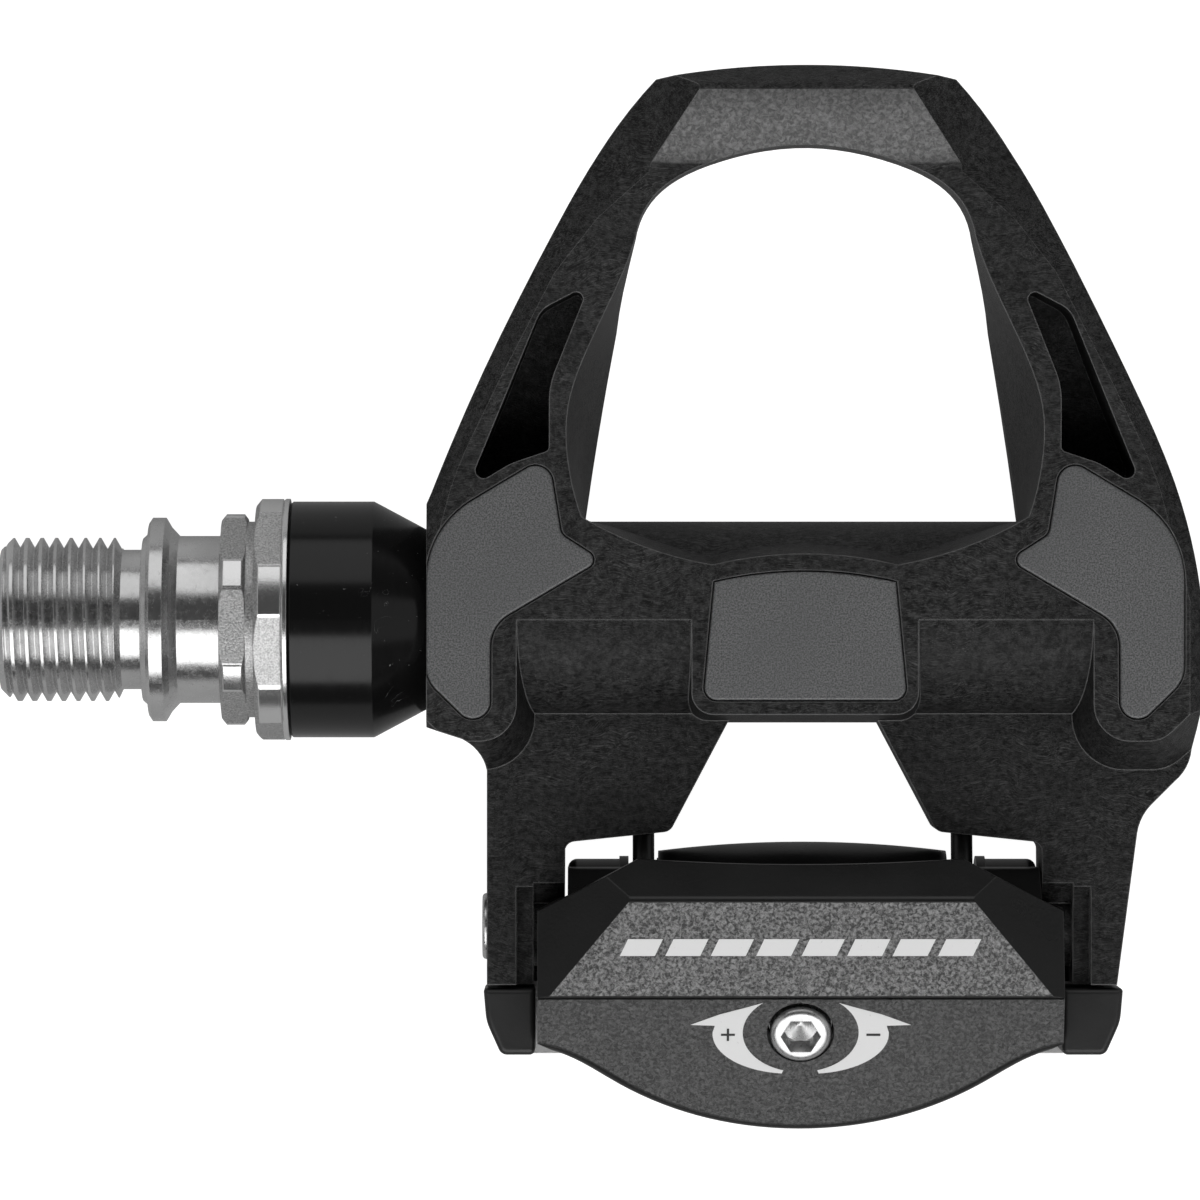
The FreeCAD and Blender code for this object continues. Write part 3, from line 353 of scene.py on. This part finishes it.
def anodised_black():
    """Glossy black anodising with faint turning lines, dust and a few scratches."""
    s = Shader("anodised_black", Specular_IOR_Level=0.35)
    turning = s.noise(1.0, detail=2.0, source=s.stretch((10.0, 0.3, 0.3)))
    dust = s.remap(s.noise(2.4, detail=4.0, rough=0.7), 0.70, 0.76)
    bend = s.noise(0.35, detail=2.0, distort=1.5)
    scratch = s.math("ABSOLUTE", s.math("SUBTRACT", bend, 0.62))
    scratch = s.remap(scratch, 0.0, 0.0016, 1.0, 0.0)
    keep = s.remap(s.noise(0.22, detail=1.0), 0.60, 0.66)
    marks = s.math("MAXIMUM", dust, s.math("MULTIPLY", scratch, keep))
    soft, edge = s.round_edges(0.12)
    colour = s.mix(marks, grey(0.0045), grey(0.35))
    # Painted highlight: the softened edges are lightened as if catching the light.
    s.feed("Base Color", s.mix(s.remap(edge, 0.05, 0.3, 0.0, 0.3), colour, grey(0.25)))
    s.feed("Roughness", s.remap(turning, 0.3, 0.7, 0.16, 0.22))
    s.feed("Normal", s.bump(turning, 0.06, 0.01, soft))
    return s.material


def dark_steel(name, level, rough):
    s = Shader(name, Metallic=0.9)
    grain = s.noise(4.0, detail=4.0, rough=0.65)
    cloud = s.noise(0.3, detail=3.0)
    soft, edge = s.round_edges(0.12)
    colour = s.mix(grain, grey(level * 0.75), grey(level * 1.3))
    colour = s.mix(s.remap(cloud, 0.4, 0.7, 0.0, 0.3), colour, grey(level * 0.6))
    # Painted highlight: the softened edges are lightened as if catching the light.
    s.feed("Base Color", s.mix(s.remap(edge, 0.05, 0.3, 0.0, 0.4), colour, grey(0.4)))
    s.feed("Roughness", s.remap(grain, 0.3, 0.7, rough - 0.05, rough + 0.08))
    s.feed("Normal", s.bump(grain, 0.25, 0.03, soft))
    return s.material


def seal_rubber():
    s = Shader("seal_rubber", Specular_IOR_Level=0.35)
    grain = s.noise(5.0, detail=3.0)
    s.feed("Base Color", s.mix(grain, grey(0.012), grey(0.03)))
    s.feed("Roughness", s.remap(grain, 0.3, 0.7, 0.6, 0.75))
    s.feed("Normal", s.bump(grain, 0.3, 0.03))
    return s.material


def print_ink(name, level):
    """Screen-printed ink that lets the grain under it show through as tiny gaps."""
    s = Shader(name, Specular_IOR_Level=0.4)
    grain = s.noise(3.3, detail=2.5, rough=0.55, distort=0.6)
    s.feed("Base Color", s.mix(s.remap(grain, 0.22, 0.32), grey(level * 0.75), grey(level)))
    s.feed("Roughness", s.remap(grain, 0.3, 0.7, 0.5, 0.65))
    s.feed("Normal", s.bump(grain, 0.4, 0.05))
    return s.material


SLOT_MATERIALS = {
    "spindle_steel": polished_steel("spindle_steel"),
    "blasted_steel": blasted_steel(),
    "anodised_black": anodised_black(),
    "seal_rubber": seal_rubber(),
    "bearing_steel": polished_steel("bearing_steel", 0.7, 0.07, 0.1),
    "cage_steel": dark_steel("cage_steel", 0.4, 0.4),
    "fibre_composite": fibre_composite(),
    "pad_steel": pad_steel(),
    "claw_finish": claw_finish(),
    "bright_steel": polished_steel("bright_steel", 0.7, 0.24, 0.3),
    "bush_plastic": moulded_plastic("bush_plastic", 0.02, 0.4),
    "spring_steel": dark_steel("spring_steel", 0.05, 0.35),
    "cap_plastic": moulded_plastic("cap_plastic", 0.012, 0.4),
    "plate_steel": dark_steel("plate_steel", 0.5, 0.38),
}
for part in frame["record"]["subparts"]:
    mesh = NODES[part["node"]].data
    mesh.materials.clear()
    mesh.materials.append(SLOT_MATERIALS[part["material_slot"]])


# ---- printed marks on the claw -----------------------------------------------------------------
INK_THICK = 0.03 * MM
INK_LIFT = 0.005           # mm from the face to the underside of the tail's pale ink
SIGN_LIFT = 0.045          # the plus and minus lie over the pale ink
BROW_LIFT = 0.03
SIGN_OUT = 6.27            # mm from the bolt to the middle of the plus or minus
SIGN_DROP = -0.18
SIGN_REACH = 0.6           # half the length of a stroke
STROKE = 0.1               # half its width
MINUS_STROKE = 0.11
DASHES = 8
DASH_PITCH = 3.9
DASH_HALF = 1.5
DASH_TALL = 0.75           # half a dash's height
DASH_LEAN = 0.7

# A face is its middle, the way along it towards the toe, and the way out of it.
TAIL_FACE = (BOLT_PLACE, BOLT_AXIS.cross(ACROSS).normalized(), BOLT_AXIS)
BROW_SLOPE = 0.234         # rise of the claw's upper face towards the toe
BROW_MIDDLE = Vector((BOLT_PLACE.x, -28.1 * MM, 12.467 * MM))
BROW_FACE = (BROW_MIDDLE, Vector((0, 1, BROW_SLOPE)).normalized(),
             Vector((0, -BROW_SLOPE, 1)).normalized())


def flat_piece(name, outline, face, lift, ink):
    """A thin closed plate over an outline, in mm across and along a face of the claw."""
    middle, along, out = face
    places = [middle + (ACROSS * a + along * b + out * lift) * MM for a, b in outline]
    mesh = bmesh.new()
    base = mesh.faces.new([mesh.verts.new(p) for p in places])
    made = bmesh.ops.extrude_face_region(mesh, geom=[base])
    raised = [v for v in made["geom"] if isinstance(v, bmesh.types.BMVert)]
    bmesh.ops.translate(mesh, verts=raised, vec=out * INK_THICK)
    bmesh.ops.recalc_face_normals(mesh, faces=mesh.faces)
    data = bpy.data.meshes.new(name)
    mesh.to_mesh(data)
    mesh.free()
    piece = bpy.data.objects.new(name, data)
    bpy.context.scene.collection.objects.link(piece)
    data.materials.append(ink)
    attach(piece, "binding")


def ellipse(middle, wide, tall, start, end, count):
    """Points along an ellipse's arc, from one angle to another in degrees."""
    angles = [radians(start + (end - start) * k / (count - 1)) for k in range(count)]
    return [(middle[0] + wide * cos(a), middle[1] + tall * sin(a)) for a in angles]


def turn_arrow(side):
    """One curved arrow: a crescent round the bolt, with a long barbed head at its top."""
    inner = ellipse((0, 0), 5.0, 3.9, 131, 253, 26)
    outer = ellipse((-0.9, -0.1), 6.7, 3.95, 264, 178, 20)
    head = [(-7.4, 0.70), (-9.51, 0.78), (-6.97, 1.82), (-4.97, 2.42)]
    outline = [(side * a, b) for a, b in inner + outer + head]
    return outline[::side]


def bar(a, b, half_wide, half_tall, lean=0.0):
    """A bar's corners about (a, b), its upper edge moved sideways by lean."""
    low, high = b - half_tall, b + half_tall
    left, right = a - half_wide, a + half_wide
    return [(left, low), (right, low), (right + lean, high), (left + lean, high)]


def tail_marks(pale, dark):
    for side, word in ((1, "left"), (-1, "right")):
        flat_piece(f"{word}_turn_arrow", turn_arrow(side), TAIL_FACE, INK_LIFT, pale)
    across = bar(-SIGN_OUT, SIGN_DROP, SIGN_REACH, STROKE)
    upright = bar(-SIGN_OUT, SIGN_DROP, STROKE, SIGN_REACH)
    minus = bar(SIGN_OUT, SIGN_DROP, SIGN_REACH, MINUS_STROKE)
    flat_piece("plus_across", across, TAIL_FACE, SIGN_LIFT, dark)
    flat_piece("plus_upright", upright, TAIL_FACE, SIGN_LIFT + INK_LIFT, dark)
    flat_piece("minus_bar", minus, TAIL_FACE, SIGN_LIFT, dark)


def brow_marks(pale):
    """A row of plain slanted dashes across the claw's upper face."""
    first = -DASH_PITCH * DASHES / 2 + DASH_HALF
    for number in range(DASHES):
        dash = bar(first + DASH_PITCH * number, 0.0, DASH_HALF, DASH_TALL, DASH_LEAN)
        flat_piece(f"brow_dash_{number}", dash, BROW_FACE, BROW_LIFT, pale)


PALE_INK = print_ink("pale_ink", 0.86)
tail_marks(PALE_INK, print_ink("dark_ink", 0.03))
brow_marks(PALE_INK)

# ---- floor, light and camera -------------------------------------------------------------------
FLOOR_SIZE = 6.0
FLOOR_GLOW = 0.16          # emission as a light; a camera ray sees 1.0
FRAME_WIDTH = 104.8 * MM
CAMERA_HEIGHT = 700 * MM
CAMERA_PLACE = (39.3 * MM, 1.7 * MM, CAMERA_HEIGHT)


def floor():
    """A pale sheet that stays white to the camera and lights the pedal only gently from below."""
    bpy.ops.mesh.primitive_plane_add(size=FLOOR_SIZE, location=(0.0, 0.0, CAD_BOX[0].z))
    plane = bpy.context.object
    plane.name = "studio_floor"
    s = Shader("studio_floor", Roughness=0.9, Specular_IOR_Level=0.1)
    s.feed("Base Color", s.mix(s.noise(0.02), grey(0.30), grey(0.32)))
    s.bsdf.inputs["Emission Color"].default_value = grey(1.0)
    seen = s.add("ShaderNodeLightPath").outputs["Is Camera Ray"]
    s.feed("Emission Strength", s.remap(seen, 0.0, 1.0, FLOOR_GLOW, 1.0))
    plane.data.materials.append(s.material)


def softbox(name, off_vertical, towards, distance, width, height, power):
    """An area light aimed at the pedal; angles in degrees off the vertical and round from +X."""
    target = Vector((MIDDLE_X * 0.7, 0, 0))
    a, b = radians(off_vertical), radians(towards)
    way = Vector((sin(a) * cos(b), sin(a) * sin(b), cos(a)))
    light = bpy.data.lights.new(name, "AREA")
    light.shape, light.size, light.size_y, light.energy = "RECTANGLE", width, height, power
    lamp = bpy.data.objects.new(name, light)
    lamp.location = target + way * distance
    lamp.rotation_mode = "QUATERNION"
    lamp.rotation_quaternion = way.to_track_quat("Z", "Y")
    bpy.context.scene.collection.objects.link(lamp)


def lights():
    long_box = {"distance": 0.9, "width": 1.6, "height": 0.8}
    end_box = {"distance": 1.0, "width": 0.7, "height": 0.9}
    softbox("toe_softbox", off_vertical=60, towards=90, power=3.4, **long_box)
    softbox("heel_softbox", off_vertical=40, towards=-90, power=8.4, **long_box)
    softbox("outer_softbox", off_vertical=70, towards=0, power=0.8, **end_box)
    softbox("crank_softbox", off_vertical=70, towards=180, power=0.8, **end_box)
    world = bpy.data.worlds.new("studio")
    bpy.context.scene.world = world
    world.use_nodes = True
    back = world.node_tree.nodes["Background"]
    back.inputs["Color"].default_value = grey(0.9)
    back.inputs["Strength"].default_value = 0.06


def camera():
    data = bpy.data.cameras.new("camera")
    data.sensor_width = 36.0
    data.lens = data.sensor_width * CAMERA_HEIGHT / FRAME_WIDTH
    data.clip_start = 0.01
    eye = bpy.data.objects.new("camera", data)
    eye.location = CAMERA_PLACE
    bpy.context.scene.collection.objects.link(eye)
    bpy.context.scene.camera = eye


floor()
lights()
camera()
bpy.context.scene.view_settings.view_transform = "Standard"
